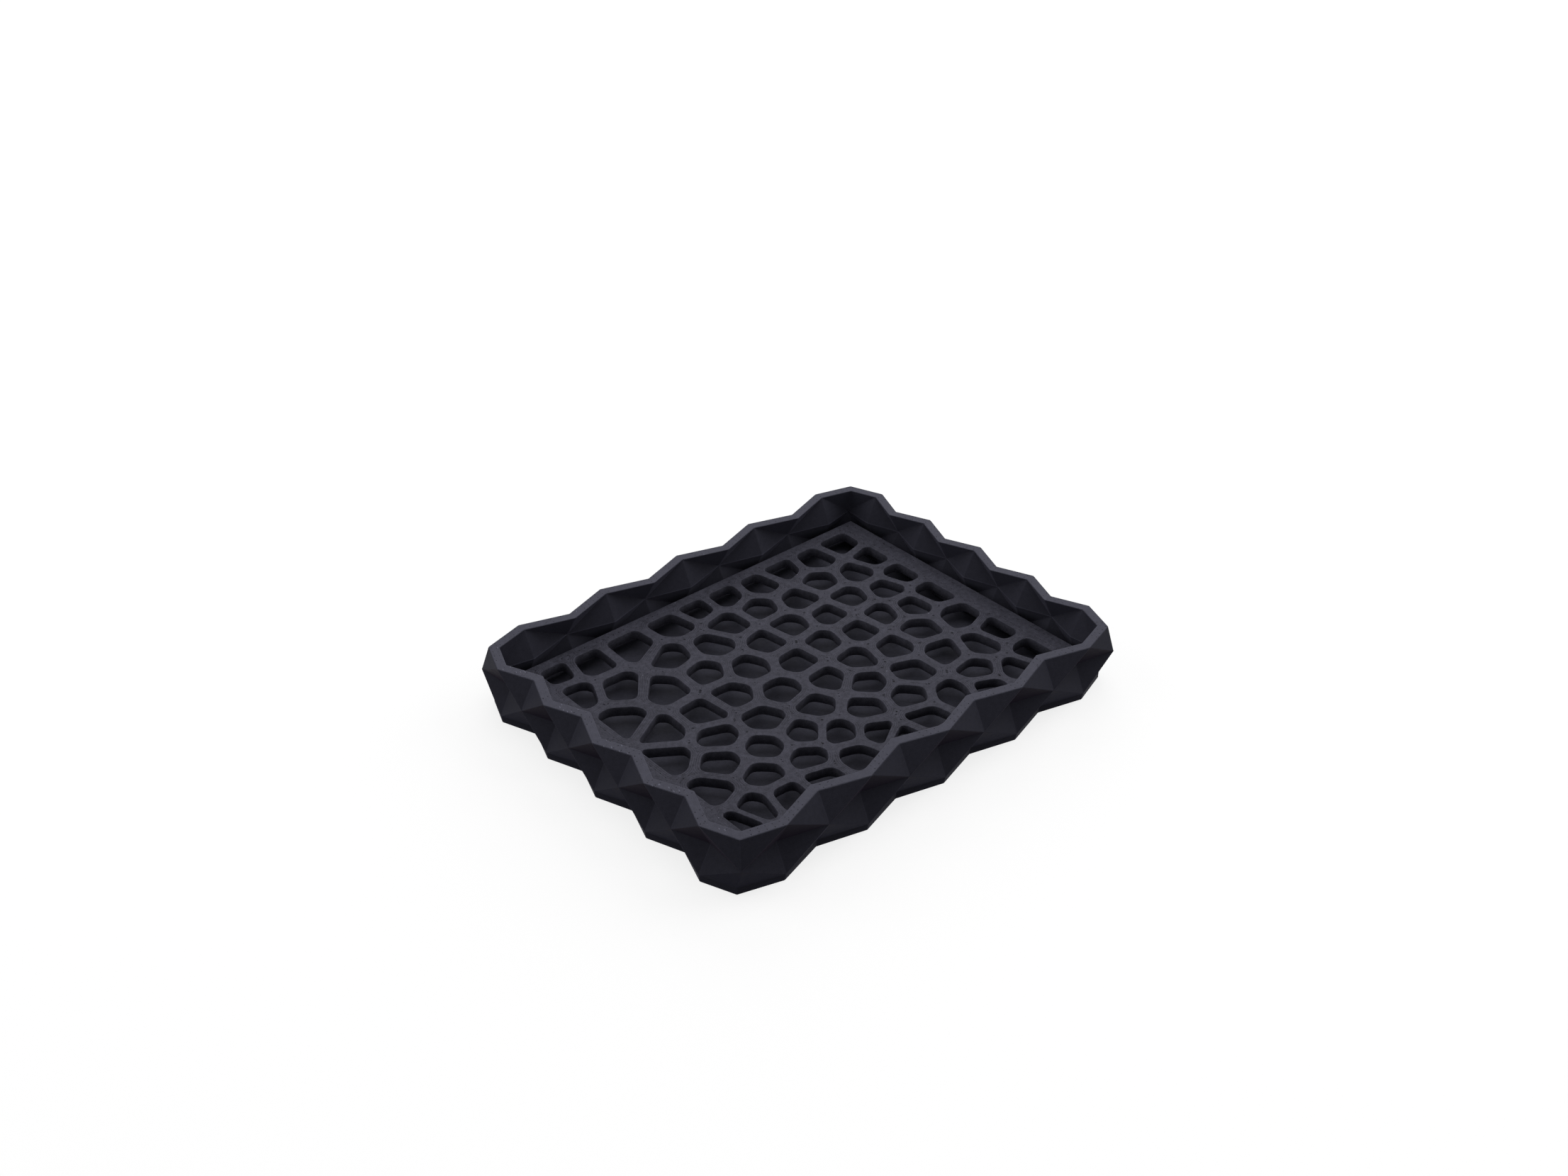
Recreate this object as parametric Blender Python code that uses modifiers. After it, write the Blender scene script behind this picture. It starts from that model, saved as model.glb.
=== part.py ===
"""Soap dish: a faceted drip tray and the drain grid that lifts out of it.

Metres, +Z up. The origin is the middle of the tray's underside, X runs along the long walls.
The tray's wall is a lattice of triangles: at each level every second column stands out to the
tray's envelope and the columns between are pressed in, and the next level swaps them over.
The grid is a flat plate pierced by rounded Voronoi cells, on short feet under its two ends.
"""

import math

import bmesh
import bpy
from mathutils import Matrix, Vector

# Wall lattice, seen from above
OUTWARD_POINTS_LONG = 5        # points that stand out on a long wall
OUTWARD_POINTS_SHORT = 5       # points that stand out on a short wall
PITCH_LONG = 0.0225            # from one such point to the next, long wall
PITCH_SHORT = 0.0166           # the same, short wall
CORNER_RUN_LONG = 0.013        # from the corner to the first such point, long wall
CORNER_RUN_SHORT = 0.0108      # the same, short wall

# Heights of the levels
FLOOR_THICKNESS = 0.0018
LOWER_BAND = 0.0062            # from the floor's top to the waist
UPPER_BAND = 0.0063            # from the waist to the rim

# How far the pressed-in columns lie inside the envelope, and the wall's thickness in plan
RIM_DENT = 0.0036
WAIST_DENT = 0.0031
HEEL_DENT = 0.0034
BASE_STEP = 0.0003             # the base under an outward point
RIM_CORNER = (0.0033, 0.0027)  # the corner column, along X and along Y
WAIST_CORNER = (0.0022, 0.0010)
HEEL_CORNER = (0.0033, 0.0033)
WALL = 0.0022

# Drain grid
GRID_CLEARANCE = 0.0004        # plate edge to the nearest point of the wall
SEAT_GAP = 0.0003              # feet to the tray's floor
PLATE_THICKNESS = 0.0024
FOOT_HEIGHT = 0.0023
FOOT_LENGTH = 0.011
FOOT_WIDTH = 0.003
FOOT_EDGE = 0.001              # foot to the plate's end
FOOT_ROUNDING = 0.0009         # the foot's rounded edges
FOOT_SINK = 0.0006             # how deep a foot's block runs into the plate before they are joined
FEET_AT_AN_END = 3
FEET_SPREAD = 0.026            # middle of one foot to the next
FIELD_END_BORDER = 0.0043      # plate end to the field of cells
FIELD_SIDE_BORDER = 0.0018     # plate side to the field of cells
CELL_SHRINK = 0.78             # each cell is drawn in to this share about its middle
SHORTEST_EDGE = 0.0016         # two corners of a cell closer than this become one
CELL_CORNER_RUN = 0.0016       # how far along each edge a cell's corner is rounded
CELL_CORNER_STEPS = 3
EDGE_SHARE = 0.48              # most of an edge that one rounded corner may take

CAVITY_PROUD = 0.001           # how far the tray's cutter stands above the rim

# Middle points of the cells in millimetres from the plate's middle, front row first,
# on a field of the size that they were laid out for
MM = 0.001
FIELD_LAID_OUT = (0.0950, 0.0722)
CELL_POINTS = (
    # along the front side
    (-46.0, -31.5), (-40.0, -29.5), (-32.5, -31.5), (-23.5, -32.0), (-13.5, -31.5), (-1.5, -33.5),
    (7.5, -31.5), (26.0, -33.5), (35.0, -32.5), (44.0, -29.5),
    # second row
    (-43.5, -20.5), (-32.0, -23.0), (-21.5, -25.5), (-10.5, -23.0), (-4.0, -28.5), (10.0, -24.0),
    (17.5, -29.5), (29.0, -27.0),
    # third row
    (-36.0, -14.5), (-26.0, -16.5), (-16.0, -18.0), (-0.5, -20.5), (6.0, -14.0), (17.0, -17.5),
    (28.0, -17.0), (36.5, -20.5), (44.0, -19.0),
    # fourth row
    (-43.5, -6.5), (-31.0, -7.5), (-19.5, -9.5), (-10.0, -4.5), (-8.0, -13.0), (1.0, -8.0),
    (11.0, -6.0), (20.5, -8.5), (30.5, -7.0), (41.0, -9.5),
    # middle row
    (-43.0, 9.5), (-38.5, 1.0), (-28.0, 0.5), (-19.0, 1.5), (-9.5, 7.0), (0.5, 2.0),
    (10.0, 3.5), (19.0, 1.5), (28.0, 3.0), (36.0, 0.5), (44.0, 1.5),
    # sixth row
    (-18.0, 12.0), (0.0, 11.5), (8.5, 13.0), (18.5, 10.5), (27.5, 13.0), (36.5, 10.0), (44.0, 12.5),
    # seventh row
    (-44.5, 23.5), (-36.0, 19.5), (-28.5, 12.5), (-20.0, 21.0), (-10.0, 18.5), (-2.0, 23.0),
    (8.0, 23.5), (17.5, 20.0), (27.0, 22.5), (36.0, 19.5), (44.0, 22.5),
    # along the back side
    (-43.5, 32.5), (-35.5, 30.5), (-24.5, 30.0), (-11.5, 31.0), (-4.0, 32.5), (5.0, 32.0),
    (14.5, 30.5), (23.0, 32.0), (32.5, 30.0), (42.0, 31.5),
)

# Sizes that follow
TRAY_LENGTH = (OUTWARD_POINTS_LONG - 1) * PITCH_LONG + 2 * CORNER_RUN_LONG
TRAY_WIDTH = (OUTWARD_POINTS_SHORT - 1) * PITCH_SHORT + 2 * CORNER_RUN_SHORT
WAIST_Z = FLOOR_THICKNESS + LOWER_BAND
RIM_Z = WAIST_Z + UPPER_BAND
WALL_REACH = max(RIM_DENT, WAIST_DENT, HEEL_DENT) + WALL
PLATE_LENGTH = TRAY_LENGTH - 2 * (WALL_REACH + GRID_CLEARANCE)
PLATE_WIDTH = TRAY_WIDTH - 2 * (WALL_REACH + GRID_CLEARANCE)
FOOT_Z = FLOOR_THICKNESS + SEAT_GAP
PLATE_Z = FOOT_Z + FOOT_HEIGHT


# Scene, collections and materials

def clear_scene():
    """Remove every object of the scene the script starts in."""
    for item in list(bpy.data.objects):
        bpy.data.objects.remove(item, do_unlink=True)


def new_collection(name):
    collection = bpy.data.collections.new(name)
    bpy.context.scene.collection.children.link(collection)
    return collection


def plastic(name, colour, roughness):
    """A printed plastic: plain colour and roughness, no metal."""
    material = bpy.data.materials.new(name)
    material.use_nodes = True
    shader = material.node_tree.nodes["Principled BSDF"]
    shader.inputs["Base Color"].default_value = (*colour, 1.0)
    shader.inputs["Roughness"].default_value = roughness
    shader.inputs["Metallic"].default_value = 0.0
    material.diffuse_color = (*colour, 1.0)
    return material


def add_mesh_object(name, mesh, collection):
    item = bpy.data.objects.new(name, mesh)
    collection.objects.link(item)
    return item


# Faceted wall

def column_plan():
    """Columns of the lattice, counterclockwise from the front left corner.

    Each is (x, y, inward, is_outward): its place on the envelope, the direction in which it is
    pressed in, and whether it stands out at the rim. A corner is pressed in along both walls.
    """
    half_x, half_y = TRAY_LENGTH / 2, TRAY_WIDTH / 2

    def stops(count, pitch):
        """Distances from the middle of a wall to its columns, every half pitch."""
        reach = (count - 1) * pitch / 2
        return [(-reach + step * pitch / 2, step % 2 == 0) for step in range(2 * count - 1)]

    long_stops = stops(OUTWARD_POINTS_LONG, PITCH_LONG)
    short_stops = stops(OUTWARD_POINTS_SHORT, PITCH_SHORT)
    columns = [(-half_x, -half_y, (1, 1), False)]
    columns += [(s, -half_y, (0, 1), out) for s, out in long_stops]
    columns += [(half_x, -half_y, (-1, 1), False)]
    columns += [(half_x, s, (-1, 0), out) for s, out in short_stops]
    columns += [(half_x, half_y, (-1, -1), False)]
    columns += [(-s, half_y, (0, -1), out) for s, out in long_stops]
    columns += [(-half_x, half_y, (1, -1), False)]
    columns += [(-half_x, -s, (1, 0), out) for s, out in short_stops]
    return columns


def ring(outward_dent, inward_dent, corner_dent):
    """Outline of one level: each column pressed in by its own depth."""
    points = []
    for x, y, inward, is_outward in column_plan():
        if inward[0] and inward[1]:
            depth = corner_dent
        elif is_outward:
            depth = (outward_dent, outward_dent)
        else:
            depth = (inward_dent, inward_dent)
        points.append(Vector((x + inward[0] * depth[0], y + inward[1] * depth[1])))
    return points


def drawn_in(points, distance):
    """The closed outline moved inwards by a distance, with mitred corners."""
    moved = []
    count = len(points)
    for index, point in enumerate(points):
        before = (point - points[index - 1]).normalized()
        after = (points[(index + 1) % count] - point).normalized()
        normal_before = Vector((-before.y, before.x))
        normal_after = Vector((-after.y, after.x))
        mitre = (normal_before + normal_after).normalized()
        moved.append(point + mitre * (distance / mitre.dot(normal_before)))
    return moved


def lattice_solid(name, levels, ridge_levels, collection):
    """Closed solid through the rings of its levels, bottom first.

    Every quad between two rings is split along the diagonal that joins its two outermost
    corners, which makes the ridges run straight across the levels.
    """
    columns = column_plan()
    count = len(columns)
    mesh = bpy.data.meshes.new(name)
    work = bmesh.new()
    rows = [[work.verts.new((p.x, p.y, z)) for p in points] for z, points in levels]
    for low, high, ridge_low in zip(rows, rows[1:], ridge_levels):
        for index in range(count):
            following = (index + 1) % count
            a, b = low[index], low[following]
            c, d = high[following], high[index]
            if columns[index][3] == ridge_low:
                work.faces.new((a, b, c))
                work.faces.new((a, c, d))
            else:
                work.faces.new((a, b, d))
                work.faces.new((b, c, d))
    work.faces.new(list(reversed(rows[0])))
    work.faces.new(rows[-1])
    work.normal_update()
    work.to_mesh(mesh)
    work.free()
    return add_mesh_object(name, mesh, collection)


def make_tray(collection, cutters):
    """The tray: the outer lattice less the same lattice drawn in by the wall."""
    rim = ring(0.0, RIM_DENT, RIM_CORNER)
    waist = ring(WAIST_DENT, 0.0, WAIST_CORNER)
    heel = ring(0.0, HEEL_DENT, HEEL_CORNER)
    base = ring(BASE_STEP, HEEL_DENT, HEEL_CORNER)
    outside = ((0.0, base), (FLOOR_THICKNESS, heel), (WAIST_Z, waist), (RIM_Z, rim))
    tray = lattice_solid("tray", outside, (True, True, False), collection)
    inside = (
        (FLOOR_THICKNESS, drawn_in(heel, WALL)),
        (WAIST_Z, drawn_in(waist, WALL)),
        (RIM_Z, drawn_in(rim, WALL)),
        (RIM_Z + CAVITY_PROUD, drawn_in(rim, WALL)),
    )
    cavity = lattice_solid("tray_cavity", inside, (True, False, True), cutters)
    cavity.hide_render = True
    cavity.display_type = "WIRE"
    cut = tray.modifiers.new("cavity", "BOOLEAN")
    cut.operation = "DIFFERENCE"
    cut.solver = "EXACT"
    cut.object = cavity
    tray.data.materials.append(plastic("tray_plastic", (0.030, 0.029, 0.036), 0.55))
    return tray


# Drain grid

def clipped(polygon, normal, limit):
    """The part of a convex polygon where point . normal stays under the limit."""
    kept = []
    for index, point in enumerate(polygon):
        before = polygon[index - 1]
        side_before = before.dot(normal) - limit
        side = point.dot(normal) - limit
        if (side_before <= 0) != (side <= 0):
            kept.append(before.lerp(point, side_before / (side_before - side)))
        if side <= 0:
            kept.append(point)
    return kept


def middle_of(polygon):
    """Centre of area of a polygon."""
    area = 0.0
    total = Vector((0.0, 0.0))
    for index, point in enumerate(polygon):
        before = polygon[index - 1]
        cross = before.x * point.y - point.x * before.y
        area += cross
        total += (before + point) * cross
    return total / (3 * area)


def voronoi_cell(point, others, half_x, half_y):
    """Every place of the field that is nearer to this point than to the others."""
    corners = ((-half_x, -half_y), (half_x, -half_y), (half_x, half_y), (-half_x, half_y))
    cell = [Vector(corner) for corner in corners]
    for other in others:
        if other is point:
            continue
        limit = (other.length_squared - point.length_squared) / 2
        cell = clipped(cell, other - point, limit)
    return cell


def without_short_edges(polygon, shortest):
    """The polygon with the ends of each edge that is too short joined at the edge's middle."""
    corners = list(polygon)
    while len(corners) > 3:
        lengths = [(point - corners[index - 1]).length for index, point in enumerate(corners)]
        least = min(lengths)
        if least >= shortest:
            break
        index = lengths.index(least)
        corners[index] = (corners[index] + corners[index - 1]) / 2
        corners.pop(index - 1)
    return corners


def rounded(polygon, corner_run, steps):
    """The polygon with each corner turned into an arc that leaves its edges at corner_run.

    A blunt corner gets a wide arc and a sharp one a tight arc. On a short edge the run shrinks.
    """
    outline = []
    count = len(polygon)
    for index, corner in enumerate(polygon):
        to_before = polygon[index - 1] - corner
        to_after = polygon[(index + 1) % count] - corner
        half_angle = to_before.angle(to_after) / 2
        shortest = min(to_before.length, to_after.length)
        run = min(corner_run, EDGE_SHARE * shortest)
        arc_radius = run * math.tan(half_angle)
        bisector = (to_before.normalized() + to_after.normalized()).normalized()
        centre = corner + bisector * (arc_radius / math.sin(half_angle))
        start = corner + to_before.normalized() * run - centre
        sweep = math.pi - 2 * half_angle
        for step in range(steps + 1):
            turn = sweep * step / steps
            cos_turn, sin_turn = math.cos(turn), math.sin(turn)
            arm = Vector((start.x * cos_turn - start.y * sin_turn,
                          start.x * sin_turn + start.y * cos_turn))
            outline.append(centre + arm)
    return outline


def cell_outlines():
    """Outlines of the plate's openings."""
    field_x = PLATE_LENGTH - 2 * FIELD_END_BORDER
    field_y = PLATE_WIDTH - 2 * FIELD_SIDE_BORDER
    stretch_x = field_x / FIELD_LAID_OUT[0] * MM
    stretch_y = field_y / FIELD_LAID_OUT[1] * MM
    points = [Vector((x * stretch_x, y * stretch_y)) for x, y in CELL_POINTS]
    outlines = []
    for point in points:
        cell = voronoi_cell(point, points, field_x / 2, field_y / 2)
        middle = middle_of(cell)
        drawn = [middle + (corner - middle) * CELL_SHRINK for corner in cell]
        corners = without_short_edges(drawn, SHORTEST_EDGE)
        outlines.append(rounded(corners, CELL_CORNER_RUN, CELL_CORNER_STEPS))
    return outlines


def add_outline(curve, outline):
    """Add a closed straight-sided spline through the outline's points."""
    spline = curve.splines.new("POLY")
    spline.points.add(len(outline) - 1)
    for knot, point in zip(spline.points, outline):
        knot.co = (point.x, point.y, 0.0, 1.0)
    spline.use_cyclic_u = True


def pierced_plate(name, collection):
    """The flat plate with its openings, as one closed mesh."""
    curve = bpy.data.curves.new(name, "CURVE")
    curve.dimensions = "2D"
    curve.fill_mode = "BOTH"
    curve.extrude = PLATE_THICKNESS / 2
    half_x, half_y = PLATE_LENGTH / 2, PLATE_WIDTH / 2
    corners = ((-half_x, -half_y), (half_x, -half_y), (half_x, half_y), (-half_x, half_y))
    add_outline(curve, [Vector(corner) for corner in corners])
    for outline in cell_outlines():
        add_outline(curve, outline)
    guide = bpy.data.objects.new(name + "_outline", curve)
    guide.location.z = PLATE_Z + PLATE_THICKNESS / 2
    collection.objects.link(guide)
    bpy.context.view_layer.update()
    evaluated = guide.evaluated_get(bpy.context.evaluated_depsgraph_get())
    mesh = bpy.data.meshes.new_from_object(evaluated)
    mesh.name = name
    mesh.transform(guide.matrix_world)
    bpy.data.objects.remove(guide, do_unlink=True)
    work = bmesh.new()
    work.from_mesh(mesh)
    bmesh.ops.remove_doubles(work, verts=work.verts, dist=0.00001)
    bmesh.ops.recalc_face_normals(work, faces=work.faces)
    work.to_mesh(mesh)
    work.free()
    mesh.materials.clear()
    return add_mesh_object(name, mesh, collection)


def foot_block(name, x, y, cutters):
    """One foot: an upright block with rounded edges that reaches into the plate."""
    bpy.ops.mesh.primitive_cube_add(size=1.0)
    foot = bpy.context.object
    foot.name = name
    height = FOOT_HEIGHT + FOOT_SINK
    place = Vector((x, y, FOOT_Z + height / 2))
    foot.data.transform(Matrix.LocRotScale(place, None, Vector((FOOT_WIDTH, FOOT_LENGTH, height))))
    for owner in list(foot.users_collection):
        owner.objects.unlink(foot)
    cutters.objects.link(foot)
    edge = foot.modifiers.new("rounded", "BEVEL")
    edge.width = FOOT_ROUNDING
    edge.segments = 2
    foot.hide_render = True
    foot.display_type = "WIRE"
    return foot


def make_drain_grid(collection, cutters):
    """The pierced plate on its feet."""
    grid = pierced_plate("drain_grid", collection)
    foot_x = PLATE_LENGTH / 2 - FOOT_EDGE - FOOT_WIDTH / 2
    for side in (-1, 1):
        for index in range(FEET_AT_AN_END):
            y = (index - (FEET_AT_AN_END - 1) / 2) * FEET_SPREAD
            number = index + 1 + (side + 1) // 2 * FEET_AT_AN_END
            foot = foot_block("foot_{}".format(number), side * foot_x, y, cutters)
            join = grid.modifiers.new(foot.name, "BOOLEAN")
            join.operation = "UNION"
            join.solver = "EXACT"
            join.object = foot
    grid.data.materials.append(plastic("grid_plastic", (0.034, 0.033, 0.040), 0.6))
    return grid


def main():
    clear_scene()
    dish = new_collection("soap_dish")
    cutters = new_collection("cutters")
    make_tray(dish, cutters)
    make_drain_grid(dish, cutters)


main()
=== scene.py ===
"""Printed soap dish: the surfaces and finish of its drip tray and drain grid.

Metres, +Z up. The origin is the middle of the tray's underside and X runs along the long walls.
Both parts are shown as a filament printer leaves them: walls built up in thin layers, flat tops
laid in beads that follow every edge, and floors laid in straight lines at a slant.
"""

import math

import bpy
import numpy as np
from mathutils import Matrix, Vector


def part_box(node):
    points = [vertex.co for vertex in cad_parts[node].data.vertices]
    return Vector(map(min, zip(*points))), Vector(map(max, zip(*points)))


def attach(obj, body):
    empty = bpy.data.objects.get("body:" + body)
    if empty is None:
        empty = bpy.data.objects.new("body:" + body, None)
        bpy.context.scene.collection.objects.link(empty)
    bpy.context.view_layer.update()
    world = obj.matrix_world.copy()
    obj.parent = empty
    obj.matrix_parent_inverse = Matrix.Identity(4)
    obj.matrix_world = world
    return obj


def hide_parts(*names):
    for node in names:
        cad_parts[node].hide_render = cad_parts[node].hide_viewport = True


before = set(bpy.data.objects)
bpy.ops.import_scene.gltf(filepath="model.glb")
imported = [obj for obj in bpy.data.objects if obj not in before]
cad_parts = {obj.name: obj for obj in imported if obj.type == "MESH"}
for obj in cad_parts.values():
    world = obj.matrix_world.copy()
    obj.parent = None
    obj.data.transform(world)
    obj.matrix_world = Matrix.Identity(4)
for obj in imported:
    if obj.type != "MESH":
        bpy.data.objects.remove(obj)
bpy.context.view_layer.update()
_, TRAY_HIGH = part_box("tray")
GRID_LOW, GRID_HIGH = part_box("drain_grid")

bl_info = {
    "name": "Printed Soap Dish",
    "version": (1, 0, 0),
    "blender": (4, 5, 0),
    "location": "View3D > Sidebar > Soap Dish",
    "description": "Builds the faceted drip tray and the drain grid of a printed soap dish",
    "category": "Object",
}

MM = 0.001
WELD = 0.000001                      # points closer than about this are one
ORIGIN = (0.0, 0.0, 0.0)
WHITE = (1.0, 1.0, 1.0, 1.0)
# Painted glints: the middle of one patch of bright strokes on the rim; the patches repeat along the
# left rim every pitch of the short wall.
GLINT_PATCH_X, GLINT_PATCH_Y = -0.0553, -0.0207    # one of the patches of glints along the left rim
CELL_POINT_SPACING = 0.001           # along the border of a cell's share of the plate
EDGE_BEADS = 3                       # beads that follow each edge of the plate
FILL_GAPS = np.array([0.0001, 0.0005, 0.0012, 0.0022, 0.0035])    # rows past those beads

# Zones of a piece, kept on its faces for the materials
OUTER_WALL, RIM, INNER_WALL, FLOOR, UNDERSIDE, FLAT_TOP = range(6)

# Middle points of the cells in millimetres from the plate's middle, front row first,
# on a field of the size that they were laid out for
FIELD_LAID_OUT = (0.0950, 0.0722)
CELL_POINTS = np.array([
    # along the front side
    (-46.0, -31.5), (-40.0, -29.5), (-32.5, -31.5), (-23.5, -32.0), (-13.5, -31.5), (-1.5, -33.5),
    (7.5, -31.5), (26.0, -33.5), (35.0, -32.5), (44.0, -29.5),
    # second row
    (-43.5, -20.5), (-32.0, -23.0), (-21.5, -25.5), (-10.5, -23.0), (-4.0, -28.5), (10.0, -24.0),
    (17.5, -29.5), (29.0, -27.0),
    # third row
    (-36.0, -14.5), (-26.0, -16.5), (-16.0, -18.0), (-0.5, -20.5), (6.0, -14.0), (17.0, -17.5),
    (28.0, -17.0), (36.5, -20.5), (44.0, -19.0),
    # fourth row
    (-43.5, -6.5), (-31.0, -7.5), (-19.5, -9.5), (-10.0, -4.5), (-8.0, -13.0), (1.0, -8.0),
    (11.0, -6.0), (20.5, -8.5), (30.5, -7.0), (41.0, -9.5),
    # middle row
    (-43.0, 9.5), (-38.5, 1.0), (-28.0, 0.5), (-19.0, 1.5), (-9.5, 7.0), (0.5, 2.0),
    (10.0, 3.5), (19.0, 1.5), (28.0, 3.0), (36.0, 0.5), (44.0, 1.5),
    # sixth row
    (-18.0, 12.0), (0.0, 11.5), (8.5, 13.0), (18.5, 10.5), (27.5, 13.0), (36.5, 10.0), (44.0, 12.5),
    # seventh row
    (-44.5, 23.5), (-36.0, 19.5), (-28.5, 12.5), (-20.0, 21.0), (-10.0, 18.5), (-2.0, 23.0),
    (8.0, 23.5), (17.5, 20.0), (27.0, 22.5), (36.0, 19.5), (44.0, 22.5),
    # along the back side
    (-43.5, 32.5), (-35.5, 30.5), (-24.5, 30.0), (-11.5, 31.0), (-4.0, 32.5), (5.0, 32.0),
    (14.5, 30.5), (23.0, 32.0), (32.5, 30.0), (42.0, 31.5),
]) * MM


# Settings

def kind_of_value(**kind):
    """A maker of settings of one kind: single numbers, or vectors where the kind has a size."""
    make = bpy.props.FloatVectorProperty if "size" in kind else bpy.props.FloatProperty
    return lambda name, description, default: make(
        name=name, description=description, default=default, **kind)


length_value = kind_of_value(subtype="DISTANCE", unit="LENGTH", precision=5)
depth_pair = kind_of_value(subtype="XYZ_LENGTH", unit="LENGTH", precision=5, size=2)
place_value = kind_of_value(subtype="TRANSLATION", unit="LENGTH", size=3)
colour_value = kind_of_value(subtype="COLOR", min=0.0, max=1.0, size=3)
plain_value = kind_of_value(precision=4)


class PrintSettings(bpy.types.PropertyGroup):
    """How the printer lays its layers and beads, passed on as laying."""

    layer_height: length_value("Layer height", "Height of one printed layer", 0.00024)
    layer_depth: length_value("Layer groove", "Depth of the groove between two layers", 0.000004)
    bead_width: length_value("Bead width", "Width of one bead of filament", 0.00045)
    bead_depth: length_value("Bead groove", "Depth of the grooves on the drain grid", 0.000013)
    rim_groove: length_value("Rim groove", "Depth of the grooves on the tray's rim", 0.000008)
    shoulder: length_value("Shoulder", "Rounding of the outermost bead", 0.00012)


class TraySettings(bpy.types.PropertyGroup):
    """Sizes and colours of the faceted tray."""

    points_long: bpy.props.IntProperty(
        name="Points, long wall", description="Points that stand out on a long wall", default=5)
    points_short: bpy.props.IntProperty(
        name="Points, short wall", description="Points that stand out on a short wall", default=5)
    pitch_long: length_value("Pitch, long wall", "From one outward point to the next", 0.0225)
    pitch_short: length_value("Pitch, short wall", "From one outward point to the next", 0.0166)
    floor_thickness: length_value("Floor", "Thickness of the tray's floor", 0.0018)
    waist_height: length_value("Waist", "Height at which the columns swap over", 0.0080)
    wall: length_value("Wall", "Thickness of the wall in plan", 0.0022)
    rim_dent: length_value("Rim dent", "Depth of the pressed-in columns at the rim", 0.0036)
    waist_dent: length_value("Waist dent", "Depth of the pressed-in columns at the waist", 0.0031)
    heel_dent: length_value("Heel dent", "Depth of the pressed-in columns at the floor", 0.0034)
    base_step: length_value("Base step", "How far the base draws in under the heel", 0.0003)
    rim_corner: depth_pair("Rim corner", "Depth of the corner column at the rim", (0.0033, 0.0027))
    waist_corner: depth_pair("Waist corner", "The same at the waist", (0.0022, 0.0010))
    heel_corner: depth_pair("Heel corner", "The same at the floor", (0.0033, 0.0033))
    ridge_rounding: length_value("Ridge rounding", "From a ridge to its flat facet", 0.0002)
    # The wall colour is about half as light as the rim colour: painted shade on the walls, with the
    # rim's lighter colour standing for the sheen on the flat tops.
    colour: colour_value("Tray rim", "Colour of the rim and the floor", (0.0490, 0.0490, 0.0645))
    shaded_wall_colour: colour_value("Tray wall", "Colour of the layered wall", (0.0222, 0.0222, 0.0305))
    # Painted shade: the overhang and foot colours are darker, tinted copies of the wall colour for
    # the facets that lean out over what is under them, their tint a painted reflection of the
    # floor; the foot colour, used low down, is bluer.
    overhang_shade_colour: colour_value(
        "Tray overhang", "Colour of the upper facets that lean out", (0.0140, 0.0113, 0.0184))
    foot_shade_colour: colour_value(
        "Tray foot", "Colour of the facets that lean out near the floor", (0.0106, 0.0104, 0.0212))


class GridSettings(bpy.types.PropertyGroup):
    """Sizes and colour of the drain grid."""

    plate_thickness: length_value("Plate", "Thickness of the pierced plate", 0.0024)
    end_border: length_value("End border", "Plate end to the field of cells", 0.0043)
    side_border: length_value("Side border", "Plate side to the field of cells", 0.0018)
    cell_shrink: plain_value("Cell share", "Share that a cell is drawn in to", 0.78)
    shortest_edge: length_value("Shortest edge", "Cell corners closer than this are one", 0.0016)
    corner_run: length_value("Corner run", "How far along an edge its corner is rounded", 0.0016)
    foot_length: length_value("Foot length", "Length of a foot along Y", 0.011)
    foot_width: length_value("Foot width", "Width of a foot along X", 0.003)
    foot_edge: length_value("Foot edge", "Foot to the end of the plate", 0.001)
    foot_rounding: length_value("Foot rounding", "Rounding of a foot's edges", 0.0009)
    feet_spread: length_value("Feet spread", "Middle of one foot to the next", 0.026)
    colour: colour_value("Grid plastic", "Colour of the drain grid", (0.0415, 0.0412, 0.0540))


class StageSettings(bpy.types.PropertyGroup):
    """Floor, light and camera."""

    floor_colour: colour_value("Floor", "Colour of the floor", (0.88, 0.88, 0.88))
    floor_bounce: colour_value("Floor bounce", "Light the floor throws back", (0.13, 0.13, 0.14))
    camera_place: place_value("Camera", "Place of the camera", (-0.2157, -0.2222, 0.2278))
    camera_aim: place_value("Aim", "Point in the middle of the picture", (0.0099, 0.0172, 0.0143))
    camera_roll: bpy.props.FloatProperty(
        name="Roll", description="Turn of the camera about its own axis", subtype="ANGLE",
        unit="ROTATION", default=math.radians(1.67))
    lens: plain_value("Lens", "Focal length in millimetres for a 36 mm wide sensor", 39.24)
    sky_level: plain_value("Sky level", "Strength of the even light from all round", 0.36)
    back_light: plain_value("Back light", "Power of the soft lamp behind", 6.7)
    top_light: plain_value("Top light", "Power of the soft lamp overhead", 4.8)
    left_light: plain_value("Left light", "Power of the soft lamp on the left", 4.9)
    right_light: plain_value("Right light", "Power of the soft lamp on the right", 7.3)


# Meshes from sheets of points

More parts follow.
